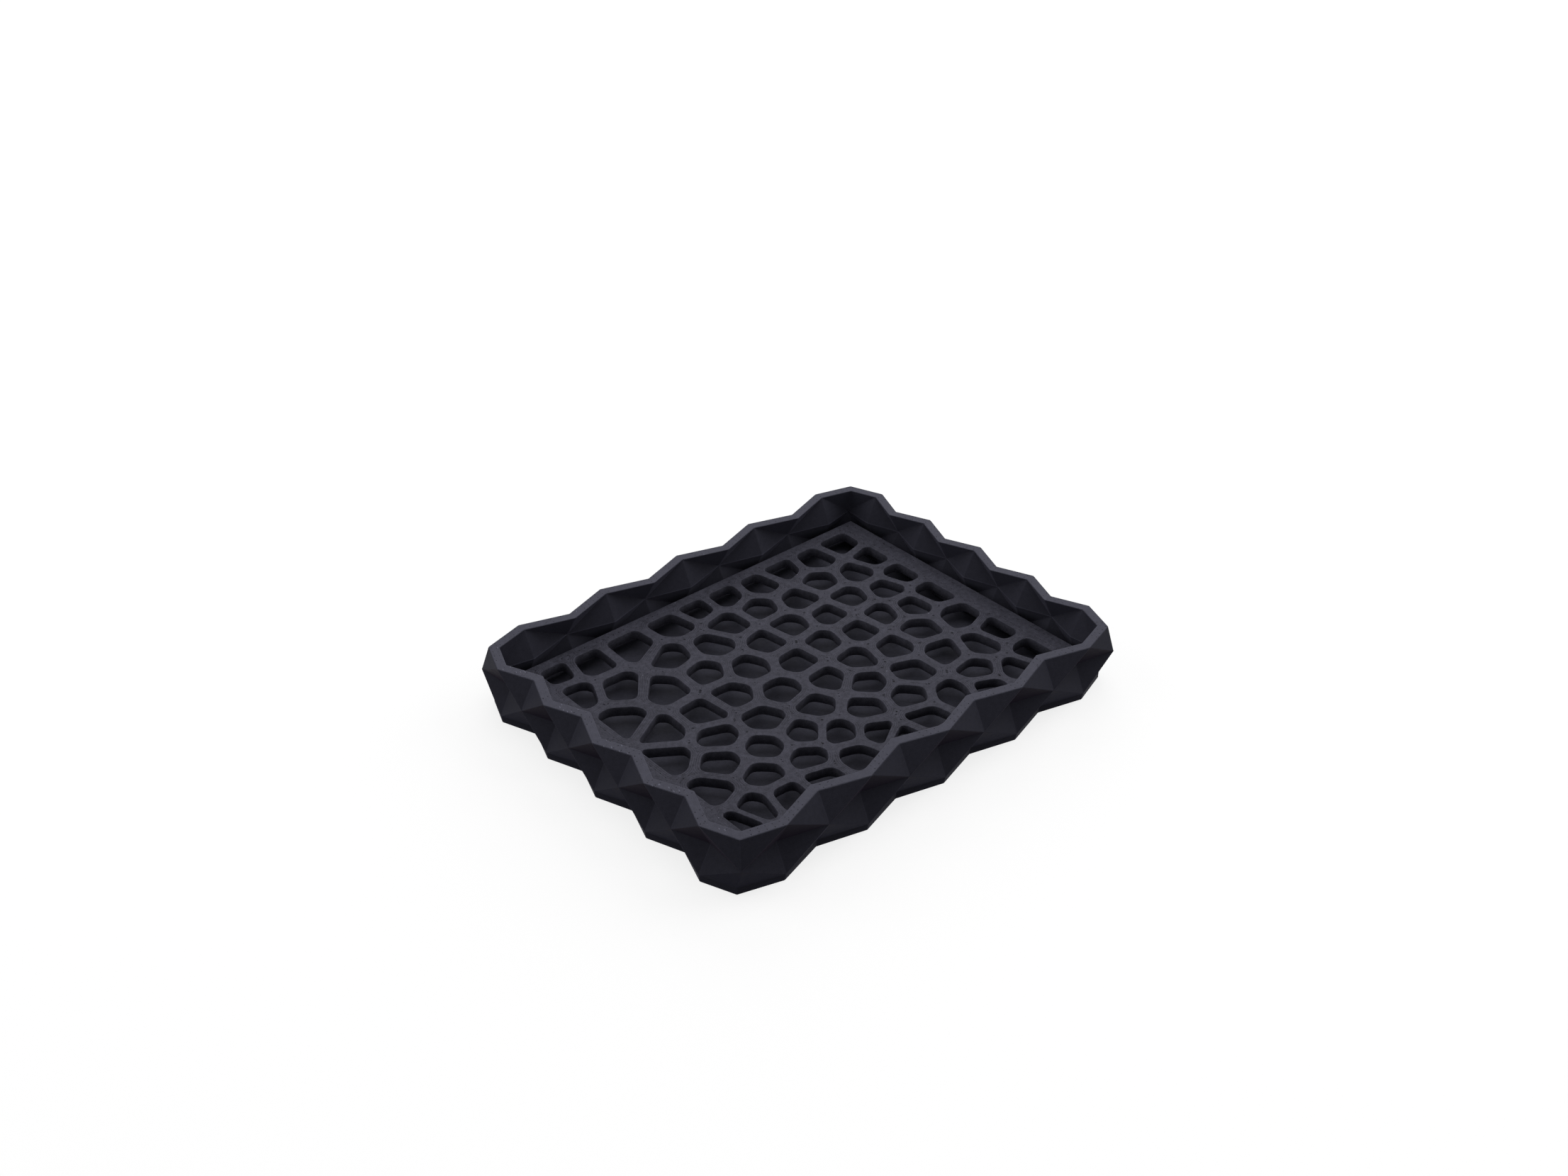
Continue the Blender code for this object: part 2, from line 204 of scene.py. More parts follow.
class Sheet:
    """A grid of points: rows by columns by XYZ, with a path map and a zone for its faces.

    The path map holds, for each point, the distance along the bead and the distance across it,
    in metres. A closed sheet names the whole way around, and its first column is repeated at its
    end with that much added to its path. Outward faces need the columns to run counterclockwise
    about the row direction, or flip to turn them over. Marks are further values at the points,
    and 1 on a sheet that lacks one that the first sheet has.
    """

    def __init__(self, points, path, zones, around=None, flip=False, smooth=False, marks=None):
        def closed(values):
            return values if around is None else np.concatenate([values, values[:, :1]], axis=1)

        points, path = closed(points), np.array(closed(path))
        path[:, -1, 0] += around or 0.0
        rows, columns = points.shape[:2]
        numbers = np.arange(rows * columns).reshape(rows, columns)
        a, b = numbers[:-1, :-1], numbers[:-1, 1:]
        c, d = numbers[1:, 1:], numbers[1:, :-1]
        quads = np.stack([a, d, c, b] if flip else [a, b, c, d], axis=-1)
        self.points, self.path, self.quads = points, path, quads.reshape(-1, 4)
        self.zones = np.repeat(np.broadcast_to(zones, rows - 1), columns - 1)
        self.smooth = np.repeat(np.broadcast_to(smooth, rows - 1), columns - 1)
        self.marks = {label: closed(values) for label, values in (marks or {}).items()}


def mesh_from_sheets(name, sheets):
    """One closed mesh from its sheets, joined wherever their points meet.

    Points that fall on the same place become one vertex. A face then drops the corners that
    became one, and is left out when fewer than three remain.
    """
    points = np.concatenate([sheet.points.reshape(-1, 3) for sheet in sheets])
    paths = np.concatenate([sheet.path.reshape(-1, 2) for sheet in sheets])
    starts = np.cumsum([0] + [sheet.path.size // 2 for sheet in sheets])
    quads = np.concatenate([sheet.quads + start for sheet, start in zip(sheets, starts)])
    zones = np.concatenate([sheet.zones for sheet in sheets])
    smooth = np.concatenate([sheet.smooth for sheet in sheets])

    off_limit = 0.37    # keeps whole micrometres off the limits between two places
    places = np.floor(points / WELD + off_limit).astype(np.int64)
    _, first, number = np.unique(places, axis=0, return_index=True, return_inverse=True)
    welded = number.reshape(-1)[quads]
    kept = welded != np.roll(welded, -1, axis=1)
    folded = (welded[:, 0] == welded[:, 2]) | (welded[:, 1] == welded[:, 3])
    whole = (kept.sum(axis=1) >= 3) & ~folded
    kept, welded, quads = kept[whole], welded[whole], quads[whole]
    counts = kept.sum(axis=1)

    mesh = bpy.data.meshes.new(name)
    mesh.vertices.add(len(first))
    mesh.vertices.foreach_set("co", points[first].astype(np.float32).ravel())
    mesh.loops.add(int(counts.sum()))
    mesh.loops.foreach_set("vertex_index", welded[kept].astype(np.int32))
    mesh.polygons.add(len(counts))
    mesh.polygons.foreach_set("loop_start", (np.cumsum(counts) - counts).astype(np.int32))
    mesh.polygons.foreach_set("use_smooth", smooth[whole])
    mesh.update(calc_edges=True)
    path_map = mesh.uv_layers.new(name="path")
    path_map.data.foreach_set("uv", paths[quads[kept]].astype(np.float32).ravel())
    values = {"zone": zones[whole]}
    for label in sheets[0].marks:
        values[label] = np.concatenate([
            sheet.marks.get(label, np.ones(sheet.points.shape[:2])).ravel() for sheet in sheets
        ])[first]
    for label, array in values.items():
        domain = "FACE" if label == "zone" else "POINT"
        mark = mesh.attributes.new(label, "FLOAT", domain)
        mark.data.foreach_set("value", array.astype(np.float32))
    if mesh.validate():
        raise RuntimeError("the mesh of {} has faults".format(name))
    return mesh


# Shorthand for outlines and rows: arrays of points whose last axis is X and Y

def unit(vectors):
    """Vectors divided by their lengths."""
    return vectors / np.maximum(np.linalg.norm(vectors, axis=-1, keepdims=True), WELD)


def left_of(vectors):
    """Vectors turned a quarter to the left."""
    return np.stack([-vectors[..., 1], vectors[..., 0]], axis=-1)


def edges_of(outline):
    """The way from each point of a closed outline to the next."""
    return np.roll(outline, -1, axis=0) - outline


def raised(rows, heights):
    """Rows of XYZ: one outline for all or one for each height, with the heights added."""
    rows = np.broadcast_to(rows, (len(heights),) + rows.shape[-2:])
    level = np.broadcast_to(heights[:, None, None], rows.shape[:2] + (1,))
    return np.concatenate([rows, level], axis=2)


def bead_path(outline, across):
    """Path map of rows that go round an outline, and the whole way around.

    Each point has the distance round the outline to its column and its own distance across.
    """
    step = np.linalg.norm(edges_of(outline), axis=1)
    along = np.broadcast_to(np.cumsum(step) - step, across.shape)
    return np.stack([along, across], axis=2), step.sum()


# Faceted wall

def wall_columns(tray):
    """Columns of the wall, counterclockwise from the front left corner.

    Between its outermost points each wall has a column every half pitch, and by turns they
    stand out and are pressed in at the rim. Returns the columns' places on the envelope, the
    way each is pressed in, which stand out at the rim and which are corners. Each wall is laid
    out as the front one or the right one lying in front, corner first, and turned into place.
    """
    walls = ((TRAY_HIGH.x, TRAY_HIGH.y, tray.points_long, tray.pitch_long),
             (TRAY_HIGH.y, TRAY_HIGH.x, tray.points_short, tray.pitch_short))
    places, inward, stands_out, corner = [], [], [], []
    for turns in range(4):
        half, away, points, pitch = walls[turns % 2]
        count = 2 * points - 1
        stops = (np.arange(count) - (count - 1) / 2) * pitch / 2
        place = np.stack([np.append(-half, stops), np.full(count + 1, -away)], axis=1)
        way = np.array([(1, 1)] + [(0, 1)] * count)
        for _ in range(turns):
            place, way = left_of(place), left_of(way)
        places.append(place)
        inward.append(way)
        stands_out += [False] + [True, False] * (points - 1) + [True]
        corner += [True] + [False] * count
    return np.concatenate(places), np.concatenate(inward), np.array(stands_out), np.array(corner)


def ring(columns, outward_dent, inward_dent, corner_dent):
    """Outline of one level: each column's place, moved inward by its own depth."""
    places, inward, stands_out, corner = columns
    depth = np.where(stands_out, outward_dent, inward_dent)[:, None]
    return places + inward * np.where(corner[:, None], corner_dent, depth)


def drawn_in(outline, distance):
    """A closed outline moved inward by a distance: each corner goes along its own mitre."""
    normal_after = left_of(unit(edges_of(outline)))
    normal_before = np.roll(normal_after, 1, axis=0)
    mitre = unit(normal_before + normal_after)
    return outline + mitre * (distance / (mitre * normal_before).sum(axis=1, keepdims=True))


def band_rows(low, high, share, rising):
    """Rows of one band of the wall, between the outlines of its lower and upper level.

    A row at a share of the way up has, for each column, the point at that share between the
    column's two ends, and then the point at the same share of the ridge that crosses the panel
    beside it. A rising ridge goes from the foot of its column to the top of the next.
    """
    share = share[:, None, None]
    foot = np.where(rising[:, None], low, np.roll(low, -1, axis=0))
    top = np.where(rising[:, None], np.roll(high, -1, axis=0), high)
    column = low + (high - low) * share
    crossing = foot + (top - foot) * share
    return np.stack([column, crossing], axis=2).reshape(len(share), -1, 2)


def softened(rows, rounding):
    """Rows with each corner turned into three points.

    The outer two stand on the edges that meet there, a rounding away or 0.4 of a shorter edge,
    and the middle one lies halfway from the corner to the point midway between them.
    """
    edge_share = 0.4
    before = np.roll(rows, 1, axis=1) - rows
    after = np.roll(rows, -1, axis=1) - rows
    shorter = np.minimum(np.linalg.norm(before, axis=2), np.linalg.norm(after, axis=2))
    run = np.minimum(rounding, edge_share * shorter)[..., None]
    start, end = rows + unit(before) * run, rows + unit(after) * run
    middle = rows / 2 + (start + end) / 4
    return np.stack([start, middle, end], axis=2).reshape(len(rows), -1, 2)


def pressed(rows, depth):
    """Rows moved inward: each point goes its row's depth along the normal of its outline."""
    reach = 5
    inward = left_of(unit(np.roll(rows, -reach, axis=1) - np.roll(rows, reach, axis=1)))
    return rows + inward * depth[:, None, None]


def layer_rows(low, high, laying):
    """Heights of the rows of layers between two heights, and each row's groove depth.

    A layer has three rows: its groove, and the lower and upper edge of its flat.
    """
    height = laying.layer_height
    shares = np.array([0.0, 0.2, 0.8])
    layers = np.arange(math.ceil(low / height), math.floor(high / height) + 1)[:, None]
    heights = ((layers + shares) * height).ravel()
    depths = np.tile([laying.layer_depth, 0.0, 0.0], len(layers))
    inside = (heights > low + WELD) & (heights < high - WELD)
    return heights[inside], depths[inside]


def wall_rows(rings, heights, rising, layered_from, rounding, laying):
    """Rows of a whole wall through the outlines of its levels, lowest first.

    Its layers begin at a height of their own. Its last row is the foot of the rim's shoulder,
    and the rows that would lie above it are left out.
    """
    parts = []
    for index in range(len(rings) - 1):
        low, high = heights[index], heights[index + 1]
        rows, depths = layer_rows(max(low, layered_from), high, laying)
        rows = np.concatenate([[low], rows, [high]])
        depths = np.concatenate([[0.0], depths, [0.0]])
        if index:
            rows, depths = rows[1:], depths[1:]
        share = (rows - low) / (high - low)
        outline = band_rows(rings[index], rings[index + 1], share, rising[index])
        parts.append(raised(pressed(softened(outline, rounding), depths), rows))
    wall = np.concatenate(parts)
    wall[-1, :, 2] -= laying.shoulder
    kept = wall[:, 0, 2] < wall[-1, 0, 2] - WELD
    kept[-1] = True
    return wall[kept]


def overhang(rows):
    """How far each point of a wall's rising rows leans out over what is under it.

    It is the way square to the row that the wall gains for each step up, the slope dn/dz. It is
    0 on a plumb facet and less on one that leans back.
    """
    along = np.roll(rows[..., :2], -1, axis=1) - np.roll(rows[..., :2], 1, axis=1)
    outward = -left_of(unit(along))
    gained = np.diff(rows, axis=0)
    slope = (gained[..., :2] * outward[1:]).sum(axis=2) / np.maximum(gained[..., 2], WELD)
    return np.concatenate([slope[:1], slope])


def bead_section(count, depth):
    """Section across beads laid side by side: shares of the way across, and depths.

    Each bead has a groove, its two shoulders and its crest between.
    """
    shares, depths = np.array([(0.0, 1.0), (0.14, 0.22), (0.5, 0.0), (0.86, 0.22)]).T
    across = (np.arange(count)[:, None] + shares) / count
    return across.ravel()[1:], np.tile(depths * depth, count)[1:]


def tray_sheet(tray, laying):
    """The tray as one closed run of rows.

    The rows go from the middle of the underside out to the base, up the outside, over the rim
    in beads, down the inside and in to the middle of the floor. The mark "ridge" is 1 on the
    crests of the walls, and "overhang" says how far a facet leans out over what is under it.
    """
    columns = wall_columns(tray)
    stands_out = columns[2]
    rim = ring(columns, 0.0, tray.rim_dent, tray.rim_corner)
    waist = ring(columns, tray.waist_dent, 0.0, tray.waist_corner)
    heel = ring(columns, 0.0, tray.heel_dent, tray.heel_corner)
    base = ring(columns, tray.base_step, tray.heel_dent, tray.heel_corner)
    heights = (0.0, tray.floor_thickness, tray.waist_height, TRAY_HIGH.z)
    rising = (~stands_out, stands_out, ~stands_out)
    outside = wall_rows(
        (base, heel, waist, rim), heights, rising, 0.0, tray.ridge_rounding, laying)
    inside = wall_rows(
        [drawn_in(level, tray.wall) for level in (heel, waist, rim)], heights[1:], rising[1:],
        GRID_HIGH.z, tray.ridge_rounding, laying)

    across, depth = bead_section(round(tray.wall / laying.bead_width), laying.rim_groove)
    top = outside[-1] + (inside[-1] - outside[-1]) * across[:, None, None]
    top[:, :, 2] = TRAY_HIGH.z - depth[:, None]
    spread = np.array([0.0, 0.3, 0.6, 0.9, 0.985, 0.998])    # rows of the flats, middle to wall
    underside = outside[0] * spread[:, None, None]
    underside[:, :, 2] = 0.0
    outside[0, :, 2] = laying.shoulder
    floor = inside[0] * spread[-2::-1, None, None]
    floor[:, :, 2] = tray.floor_thickness

    parts = (underside, outside, top, inside[::-1], floor)
    rows = np.concatenate(parts)
    zones = np.repeat(
        [UNDERSIDE, OUTER_WALL, RIM, INNER_WALL, FLOOR],
        [len(underside), len(outside) - 1, len(top) + 1, len(inside) - 1, len(floor)])
    share = np.concatenate([
        np.zeros(len(underside) + len(outside)), across, np.ones(len(inside) + len(floor))])
    path, around = bead_path(
        outside[-1], np.broadcast_to(share[:, None] * tray.wall, rows.shape[:2]))
    on_wall = np.repeat([0.0, 1.0, 0.0, 1.0, 0.0], [len(part) for part in parts])
    crest = np.tile([0.0, 1.0, 0.0], rows.shape[1] // 3)
    leaning = [np.zeros(part.shape[:2]) for part in parts]
    leaning[1] = np.clip(overhang(outside), 0.0, 1.0)
    leaning[3] = np.clip(-overhang(inside), 0.0, 1.0)[::-1]
    marks = {"ridge": on_wall[:, None] * crest, "overhang": np.concatenate(leaning)}
    return Sheet(rows, path, zones, around=around, smooth=zones == RIM, marks=marks)


# Drain grid

def clipped(polygon, normal, limit):
    """The part of a convex polygon where point . normal stays under the limit.

    Corners under it stay, and each edge that passes it adds the point where it does.
    """
    side = polygon @ normal - limit
    side_after = np.roll(side, -1)
    passes = (side <= 0) != (side_after <= 0)
    share = side / np.where(passes, side - side_after, 1.0)
    both = np.stack([polygon, polygon + edges_of(polygon) * share[:, None]], axis=1)
    return both.reshape(-1, 2)[np.stack([side <= 0, passes], axis=1).ravel()]


def voronoi_cell(point, others, half_x, half_y):
    """Every place of a rectangle that is nearer to this point than to the others."""
    cell = np.array([(-half_x, -half_y), (half_x, -half_y), (half_x, half_y), (-half_x, half_y)])
    for other in others:
        cell = clipped(cell, other - point, (other @ other - point @ point) / 2)
    return cell


def middle_of(polygon):
    """Centre of area: each edge's middle, weighed by its triangle with the origin."""
    before = np.roll(polygon, 1, axis=0)
    cross = before[:, 0] * polygon[:, 1] - polygon[:, 0] * before[:, 1]
    return ((before + polygon) * cross[:, None]).sum(axis=0) / (3 * cross.sum())


def without_short_edges(polygon, shortest):
    """The polygon with the ends of each edge that is too short joined at the edge's middle."""
    while len(polygon) > 3:
        lengths = np.linalg.norm(polygon - np.roll(polygon, 1, axis=0), axis=1)
        index = int(lengths.argmin())
        if lengths[index] >= shortest:
            break
        polygon = polygon.copy()
        polygon[index] = (polygon[index] + polygon[index - 1]) / 2
        polygon = np.delete(polygon, index - 1, axis=0)
    return polygon


def rounded(polygon, corner_run, steps=7, edge_share=0.48):
    """The polygon with each corner turned into an arc that leaves its edges at corner_run.

    The arc's centre lies on the corner's bisector, and its points are the start point turned
    about it by equal steps.
    """
    after = edges_of(polygon)
    before = -np.roll(after, 1, axis=0)
    shorter = np.minimum(np.linalg.norm(before, axis=1), np.linalg.norm(after, axis=1))
    before, after = unit(before), unit(after)
    half_angle = np.arccos((before * after).sum(axis=1)) / 2
    run = np.minimum(corner_run, edge_share * shorter)
    centre = polygon + unit(before + after) * (run / np.cos(half_angle))[:, None]
    start = polygon + before * run[:, None] - centre
    turn = (math.pi - 2 * half_angle)[:, None] * np.linspace(0.0, 1.0, steps + 1)
    x = start[:, :1] * np.cos(turn) - start[:, 1:] * np.sin(turn)
    y = start[:, :1] * np.sin(turn) + start[:, 1:] * np.cos(turn)
    return (centre[:, None] + np.stack([x, y], axis=2)).reshape(-1, 2)


def edge_points(polygon, spacing):
    """Points along a polygon's edges, closer near its corners.

    An edge of n parts has its points at shares (1 - cos(pi k / n)) / 2, so the two cells beside
    it find the same ones.
    """
    slack = 0.01    # of a part, so that both cells count alike
    way = edges_of(polygon)
    parts = np.ceil(np.linalg.norm(way, axis=1) / spacing - slack).astype(int)
    parts = np.maximum(parts, 1)
    edge = np.repeat(np.arange(len(polygon)), parts)
    number = np.arange(parts.sum()) - np.repeat(np.cumsum(parts) - parts, parts)
    share = (1 - np.cos(math.pi * number / parts[edge])) / 2
    return polygon[edge] + way[edge] * share[:, None]


def gap_to(outline, points):
    """Distance from each point to a closed outline: the least over its edges."""
    edge = edges_of(outline)
    offset = points[..., None, :] - outline
    share = np.clip((offset * edge).sum(-1) / (edge * edge).sum(-1), 0.0, 1.0)
    return np.linalg.norm(offset - edge * share[..., None], axis=-1).min(axis=-1)


def reach_inside(outline, middle, directions):
    """How far each direction goes from the middle to a convex outline: the nearest edge line."""
    normal = -left_of(edges_of(outline))
    height = (normal * (outline - middle)).sum(axis=1)
    slope = directions @ normal.T
    least = 1e-12
    return np.where(slope > least, height / np.maximum(slope, least), np.inf).min(axis=1)


def bead_gaps(laying, beads, plain_gaps):
    """Distances from an edge at which a flat top has its rows, and how deep each row lies.

    The edge itself is the foot of the shoulder. Then come the beads that follow the edge, each
    with its crest and grooves, and then plain rows for the filling.
    """
    width = laying.bead_width
    shoulder = np.array([0.0, 0.1, 0.26]) * width
    shoulder_depth = np.array([1.0, 0.3, 0.0]) * laying.shoulder
    pattern = np.array([0.5, 0.8, 1.0, 1.2])
    pattern_depth = np.array([0.0, 0.25, 1.0, 0.25]) * laying.bead_depth
    gaps = (np.arange(beads)[:, None] + pattern).ravel() * width
    gaps = np.concatenate([shoulder, gaps, beads * width + plain_gaps])
    depths = np.concatenate([shoulder_depth, np.tile(pattern_depth, beads), plain_gaps * 0])
    return gaps, depths


def cell_outlines(grid):
    """For each cell: its opening, the middle it is drawn in about, and its share of the plate."""
    half_x, half_y = GRID_HIGH.x, GRID_HIGH.y
    field_x, field_y = half_x - grid.end_border, half_y - grid.side_border
    points = CELL_POINTS * np.array([field_x * 2, field_y * 2]) / FIELD_LAID_OUT
    cells = []
    for index, point in enumerate(points):
        others = np.delete(points, index, axis=0)
        cell = voronoi_cell(point, others, field_x, field_y)
        middle = middle_of(cell)
        drawn = middle + (cell - middle) * grid.cell_shrink
        opening = rounded(without_short_edges(drawn, grid.shortest_edge), grid.corner_run)
        cells.append((opening, middle, voronoi_cell(point, others, half_x, half_y)))
    return cells


def cell_sheet(cell, neighbours, grid, laying):
    """Everything of the plate that belongs to one cell, as rows round its opening.

    Rays go from the cell's middle to points on the border of its share of the plate. The rows
    run from that border in under the plate to the opening, up its wall, and out over the top to
    the border again. On top, each row keeps one distance from the opening: the place on a ray
    is walked outward until its gap reads that distance. Next to the plate's edge further rows
    keep their distance from that edge in the same way. The mark "joint" is the distance to the
    nearest place where three shares meet.
    """
    opening, middle, share_of_plate = cell
    half = np.array([GRID_HIGH.x, GRID_HIGH.y])
    top_z, bottom_z = GRID_HIGH.z, GRID_HIGH.z - grid.plate_thickness
    shoulder = laying.shoulder
    border = edge_points(share_of_plate, CELL_POINT_SPACING)
    length = np.linalg.norm(border - middle, axis=1)
    ray = (border - middle) / length[:, None]
    start = reach_inside(opening, middle, ray)
    room = length - start

    gaps, depths = bead_gaps(laying, EDGE_BEADS, FILL_GAPS)
    walked = np.minimum(gaps[:, None], room)
    rounds = 9
    for _ in range(rounds):
        place = middle + ray * (start + walked)[..., None]
        walked = np.clip(walked + gaps[:, None] - gap_to(opening, place), 0.0, room)
    on_side = np.abs(np.abs(border) - half) < WELD
    at_edge = on_side.any(axis=1)
    steepest = 2.0
    slope = np.where(on_side, np.abs(ray), steepest).min(axis=1)
    limit = np.where(at_edge, room / 2, room)
    from_edge = np.where(at_edge, gaps[::-1, None] / slope, 0.0)
    walked = np.concatenate([np.minimum(walked, limit), np.maximum(room - from_edge, limit)])
    place = middle + ray * (start + walked)[..., None]

    gap = gap_to(opening, place)
    edge_gap = (half - np.abs(place)).min(axis=-1)
    nearest = np.min([gap_to(other, border) for other in neighbours], axis=0)
    gap = np.where((walked > room - WELD) & ~at_edge, nearest, gap)
    gap = np.maximum(np.minimum(gap, edge_gap), 0.0)
    top_heights = top_z - np.interp(gap, gaps, depths)
    top = np.concatenate([place, top_heights[..., None]], axis=2)

    lip = middle + ray * start[:, None]
    under_lip = middle + ray * (start + np.minimum(shoulder, room / 2))[:, None]
    below = raised(np.stack([border, under_lip]), np.array([bottom_z, bottom_z]))
    wall = raised(lip, np.array([bottom_z + shoulder, top_z - shoulder]))
    rows = np.concatenate([below, wall, top[1:]])

    on_top = len(below) + len(wall)
    inner_corner = (np.abs(share_of_plate) <= half - WELD).all(axis=1)
    from_corner = place[..., None, :] - share_of_plate[inner_corner]
    joint, across = np.ones(rows.shape[:2]), np.zeros(rows.shape[:2])
    joint[on_top:] = np.linalg.norm(from_corner, axis=-1).min(axis=-1, initial=1.0)[1:]
    across[on_top:] = gap[1:]
    zones = np.repeat([UNDERSIDE, INNER_WALL, FLAT_TOP], [2, 1, len(rows) - on_top])
    path, around = bead_path(lip, across)
    sheet = Sheet(rows, path, zones, around, flip=True, smooth=True, marks={"joint": joint})
    return sheet, border[at_edge]


def plate_edge_sheet(border, grid, laying):
    """The plate's outer edge: its border points by their angle round the plate, in rows upward."""
    angle = np.arctan2(border[:, 1], border[:, 0])
    _, order = np.unique(np.round(angle, decimals=4), return_index=True)
    levels = np.array([GRID_HIGH.z - grid.plate_thickness, GRID_HIGH.z - laying.shoulder])
    rows = raised(border[order], levels)
    path, around = bead_path(border[order], np.zeros(rows.shape[:2]))
    return Sheet(rows, path, OUTER_WALL, around=around)


def foot_sheet(x, y, grid, laying):
    """A foot: a rounded oblong outline carried up in layers, closed at both ends.

    The outline has quarter circles at its corners. Towards the ground it draws in by
    r - sqrt(r^2 - (r - h)^2), the section of a rounded edge of radius r at height h.
    """
    radius, corner_points = grid.foot_rounding, 6
    quarter = np.linspace(0.0, math.pi / 2, corner_points)
    turn = (np.arange(4)[:, None] * math.pi / 2 + quarter).ravel()
    inner = np.array([grid.foot_width / 2 - radius, grid.foot_length / 2 - radius])
    signs = np.repeat([(1, 1), (-1, 1), (-1, -1), (1, -1)], corner_points, axis=0)
    arm = np.stack([np.cos(turn), np.sin(turn)], axis=1)
    low, high = GRID_LOW.z, GRID_HIGH.z - grid.plate_thickness + laying.shoulder
    heights, depths = layer_rows(low, high, laying)
    heights = np.concatenate([[low, low], heights, [high, high]])
    depths = np.concatenate([[0.0, 0.0], depths, [0.0, 0.0]])
    lift = np.clip((heights - low) / radius, 0.0, 1.0)
    reach = radius * np.sqrt(1.0 - (1.0 - lift) ** 2) - depths
    outline = inner * signs + arm * np.maximum(reach, 0.0)[:, None, None]
    outline[0] = outline[-1] = 0.0
    rows = raised(outline + np.array([x, y]), heights)
    return Sheet(rows, np.zeros(rows.shape[:2] + (2,)), OUTER_WALL, around=0.0)


def grid_sheets(grid, laying):
    """The plate cell by cell, its outer edge and its six feet."""
    nearest = 12    # openings that can be the next one to a cell's border
    cells = cell_outlines(grid)
    middles = np.array([middle for _, middle, _ in cells])
    sheets, borders = [], []
    for cell in cells:
        apart = np.linalg.norm(middles - cell[1], axis=1)
        neighbours = [cells[number][0] for number in np.argsort(apart)[:nearest]]
        sheet, border = cell_sheet(cell, neighbours, grid, laying)
        sheets.append(sheet)
        borders.append(border)
    sheets.append(plate_edge_sheet(np.concatenate(borders), grid, laying))
    foot_x = GRID_HIGH.x - grid.foot_edge - grid.foot_width / 2
    for x in (-foot_x, foot_x):
        for y in (-grid.feet_spread, 0.0, grid.feet_spread):
            sheets.append(foot_sheet(x, y, grid, laying))
    return sheets


# Shader nodes

class Tree:
    """Shorthand for adding nodes to a tree and joining them."""

    def __init__(self, tree):
        self.tree = tree
        self.link = tree.links.new

    def node(self, kind, inputs=None, **settings):
        """Add a node, set its settings, and fill its inputs with values or other sockets."""
        item = self.tree.nodes.new("ShaderNode" + kind)
        for name, value in settings.items():
            setattr(item, name, value)
        for name, value in (inputs or {}).items():
            if isinstance(value, bpy.types.NodeSocket):
                self.link(value, item.inputs[name])
            else:
                item.inputs[name].default_value = value
        return item

    def math(self, operation, *values, clamp=False):
        item = self.node("Math", dict(enumerate(values)), operation=operation, use_clamp=clamp)
        return item.outputs[0]

    def fold(self, operation, first, *others):
        """One operation carried through all the values in turn."""
        for value in others:
            first = self.math(operation, first, value)
        return first

    def times(self, *values):
        return self.fold("MULTIPLY", *values)

    def total(self, start, *terms):
        """A start plus every term, each of them a product whose last value is its strength."""
        for *values, strength in terms:
            start = self.math("MULTIPLY_ADD", self.times(*values), strength, start)
        return start

    def length(self, x, y):
        """The length of a way in plan: sqrt(x^2 + y^2)."""
        squares = [self.times(way, way) for way in (x, y)]
        return self.math("SQRT", self.math("ADD", *squares))

    def ramp(self, value, low, high, to_low=0.0, to_high=1.0):
        """Value carried from one range to another and held inside it."""
        item = self.node("MapRange", {0: value, 1: low, 2: high, 3: to_low, 4: to_high})
        return item.outputs[0]

    def near(self, distance, radius):
        """1 at the middle of a mark, falling evenly to 0 at its radius."""
        return self.math("SUBTRACT", 1.0, self.math("DIVIDE", distance, radius), clamp=True)

    def noise(self, place, scale, detail=2.0, roughness=0.5):
        item = self.node("TexNoise", {
            "Vector": place, "Scale": scale, "Detail": detail, "Roughness": roughness})
        return item.outputs["Fac"]

    def about_zero(self, value):
        """A value between 0 and 1, such as a noise, moved so that its middle is 0."""
        return self.math("SUBTRACT", value, 0.5)

    def split(self, place):
        return self.node("SeparateXYZ", {0: place}).outputs

    def mixed(self, share, first, second):
        """The first colour where the share is 0 and the second where it is 1."""
        a, b = 4, 5    # the node's inputs for vectors
        item = self.node("Mix", {"Factor": share, a: first, b: second}, data_type="VECTOR")
        return item.outputs[1]

    def group(self, name, **inputs):
        """A shared effect placed in this tree: its outputs by name."""
        named = {label.replace("_", " ").title(): value for label, value in inputs.items()}
        return self.node("Group", named, node_tree=bpy.data.node_groups[name]).outputs

    def plain_view(self):
        """1 for what the camera sees, straight or by way of a gloss, and 0 for other light."""
        seen = self.node("LightPath").outputs
        kinds = ("Is Camera Ray", "Is Glossy Ray", "Is Transmission Ray")
        return self.fold("MAXIMUM", *(seen[kind] for kind in kinds))


# Shared effects: each becomes a shader node group with the inputs of the table below

def printed_lines(tree, count, where, roundness):
    """Height and tone of lines that are numbered by a running count.

    Height is the rounded section of each line, |sin(pi count)| to a power. Tone is a noise that
    drifts along a line and jumps from one to the next.
    """
    wave = tree.math("ABSOLUTE", tree.math("SINE", tree.times(count, math.pi)))
    place = tree.node("CombineXYZ", dict(enumerate(where))).outputs[0]
    return {"Height": tree.math("POWER", wave, roundness),
            "Tone": tree.about_zero(tree.noise(place, 1.0, detail=1.0))}


def layer_lines(tree, place, layer_height):
    """Layers seen from the side, counted by their height over the layer height."""
    drift, jump = 60.0, 0.73
    x, y, z = tree.split(place)
    count = tree.math("DIVIDE", z, layer_height)
    where = tree.times(x, drift), tree.times(y, drift), tree.times(tree.math("FLOOR", count), jump)
    return printed_lines(tree, count, where, roundness=0.35)


